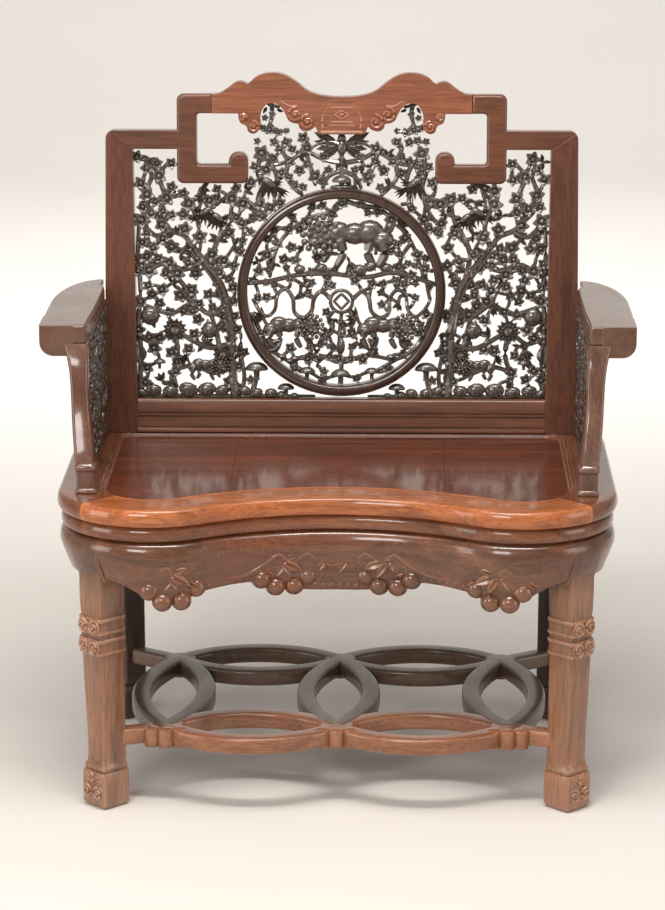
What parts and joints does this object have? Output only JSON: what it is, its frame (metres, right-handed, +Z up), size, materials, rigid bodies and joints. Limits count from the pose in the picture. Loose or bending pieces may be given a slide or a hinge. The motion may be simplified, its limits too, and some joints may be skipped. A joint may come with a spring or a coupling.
{
  "type": "carved rosewood double armchair",
  "caption": "Wide carved hardwood armchair with kidney-shaped seat, openwork back with round medallion, scrolled arms and a low lattice of interlaced rings.",
  "frame": {"origin": "on the floor under the middle of the chair's bounding box", "axes": "+X to the viewer's right, -Y towards the front of the seat, +Z up"},
  "size_m": [0.934, 0.5919, 1.101],
  "materials": {
    "rosewood": "polished dark red-brown hardwood, fine dark grain",
    "worn_rosewood": "polished hardwood rubbed to an orange-brown on its raised faces",
    "arm_rosewood": "polished hardwood, flat and glossy on top",
    "seat_rosewood": "polished red-brown seat boards with a mirror-like wax finish",
    "apron_rosewood": "polished hardwood, greyer in its hollows",
    "lattice_rosewood": "satin hardwood, browner and duller than the seat",
    "carved_openwork": "near-black carved hardwood with a soft waxed sheen",
    "unseen_rosewood": "plain unpolished hardwood on the underside"
  },
  "bodies": {
    "root": {"leg_front_left": "worn_rosewood", "leg_front_right": "worn_rosewood", "leg_rear_left": "rosewood", "leg_rear_right": "rosewood", "seat_frame_front": "worn_rosewood", "seat_frame_rear": "rosewood", "seat_frame_left": "rosewood", "seat_frame_right": "rosewood", "seat_board_left": "seat_rosewood", "seat_board_centre": "seat_rosewood", "seat_board_right": "seat_rosewood", "seat_batten_front": "unseen_rosewood", "seat_batten_rear": "unseen_rosewood", "waist_front": "apron_rosewood", "waist_rear": "apron_rosewood", "waist_left": "apron_rosewood", "waist_right": "apron_rosewood", "apron_front": "apron_rosewood", "apron_rear": "apron_rosewood", "apron_left": "apron_rosewood", "apron_right": "apron_rosewood", "lattice_ring_left": "lattice_rosewood", "lattice_ring_centre": "lattice_rosewood", "lattice_ring_right": "lattice_rosewood", "lattice_lens_front_left": "lattice_rosewood", "lattice_lens_front_right": "lattice_rosewood", "lattice_lens_rear_left": "lattice_rosewood", "lattice_lens_rear_right": "lattice_rosewood", "lattice_arm_front_left": "lattice_rosewood", "lattice_arm_front_right": "lattice_rosewood", "lattice_arm_rear_left": "lattice_rosewood", "lattice_arm_rear_right": "lattice_rosewood", "lattice_knuckle_left": "lattice_rosewood", "lattice_knuckle_centre": "lattice_rosewood", "lattice_knuckle_right": "lattice_rosewood", "lattice_hub_left": "lattice_rosewood", "lattice_hub_centre": "lattice_rosewood", "lattice_hub_right": "lattice_rosewood", "back_post_left": "rosewood", "back_post_right": "rosewood", "back_bottom_rail": "rosewood", "step_rail_left": "rosewood", "step_rail_right": "rosewood", "hook_scroll_left": "rosewood", "hook_scroll_right": "rosewood", "crest_rail": "worn_rosewood", "crest_pendants": "carved_openwork", "back_board_left": "carved_openwork", "back_board_centre": "carved_openwork", "back_board_right": "carved_openwork", "medallion_frame": "rosewood", "medallion_carving": "carved_openwork", "arm_rest_left": "arm_rosewood", "arm_rest_right": "arm_rosewood", "arm_support_left": "worn_rosewood", "arm_support_right": "worn_rosewood", "arm_panel_left": "carved_openwork", "arm_panel_right": "carved_openwork"}
  },
  "joints": []
}
